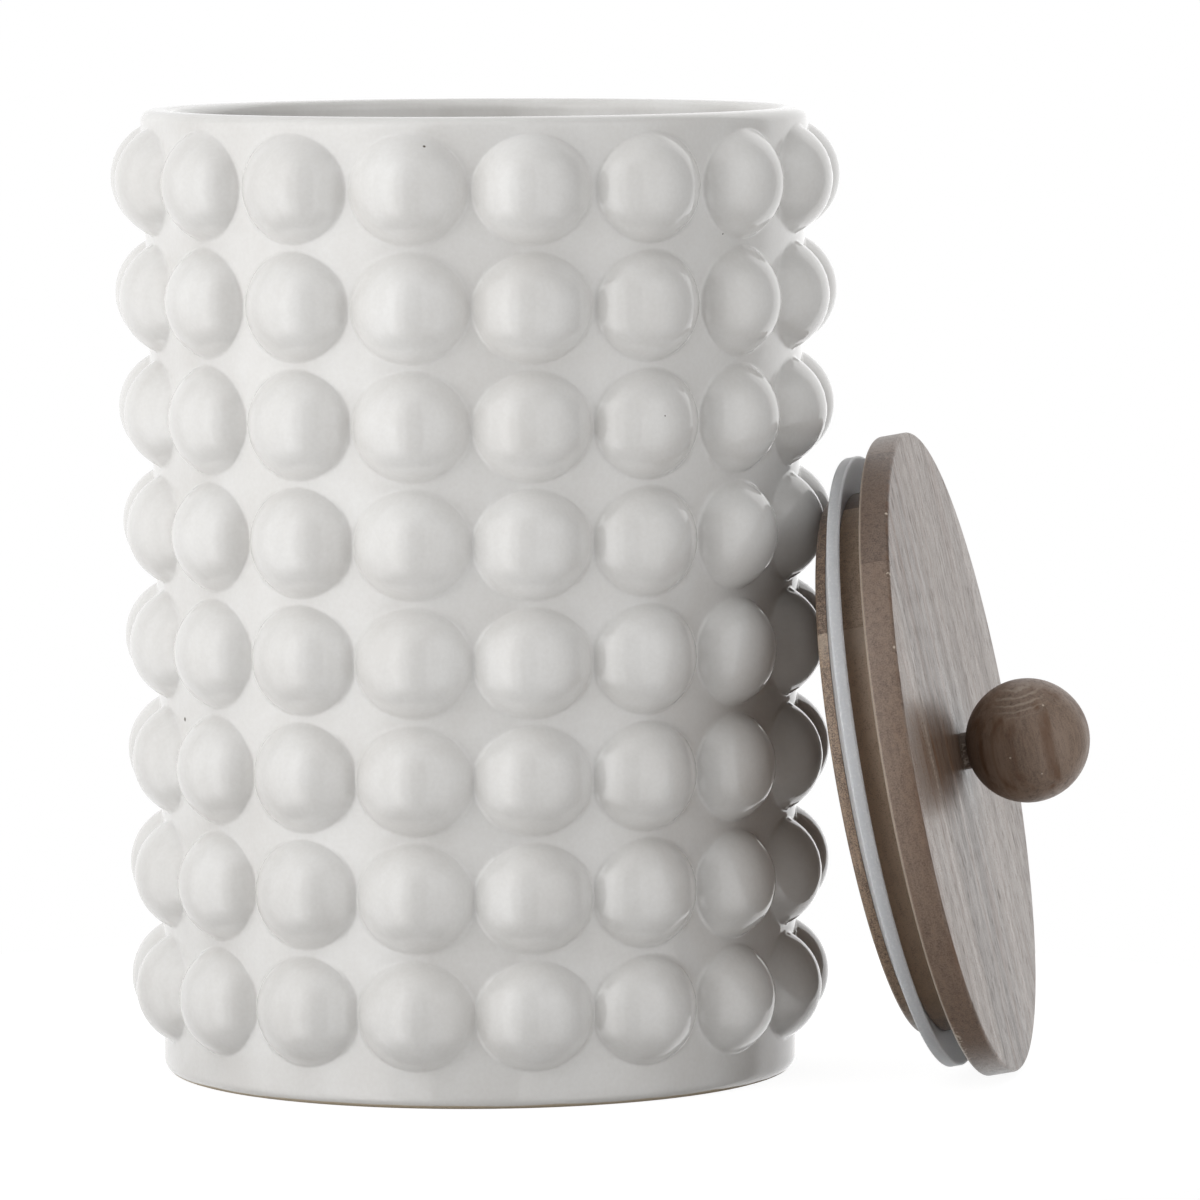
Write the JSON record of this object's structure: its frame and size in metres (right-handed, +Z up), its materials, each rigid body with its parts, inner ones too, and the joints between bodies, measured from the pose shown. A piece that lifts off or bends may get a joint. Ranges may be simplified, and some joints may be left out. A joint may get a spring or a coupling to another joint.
{
  "type": "storage jar",
  "caption": "Tall round glazed storage jar covered in rows of raised bobbles, with a wooden plug lid, silicone seal and ball knob taken off and leaning against its side.",
  "frame": {"origin": "centre of the jar's flat base, on the surface that it stands on", "axes": "+Z up along the jar's axis, +X towards the side that the lid leans on, -Y towards the viewer"},
  "size_m": [0.2192, 0.1696, 0.2167],
  "materials": {
    "glaze": "glossy off-white glaze",
    "lid_wood": "satin lacquer",
    "knob_wood": "satin lacquer",
    "seal": "translucent grey silicone"
  },
  "bodies": {
    "jar": {"jar_body": "glaze"},
    "lid": {"lid_board_stave_1": "lid_wood", "lid_board_stave_2": "lid_wood", "lid_board_stave_3": "lid_wood", "lid_board_stave_4": "lid_wood", "lid_plug_stave_1": "lid_wood", "lid_plug_stave_2": "lid_wood", "lid_plug_stave_3": "lid_wood", "lid_plug_stave_4": "lid_wood", "lid_seal": "seal", "knob_ball": "knob_wood", "knob_dowel": "knob_wood"}
  },
  "joints": [
    {"name": "lid_lift", "type": "slide", "parent": "jar", "child": "lid", "axis": [0.9673, -0.1793, 0.1797], "range_m": [0, 0.25]}
  ]
}
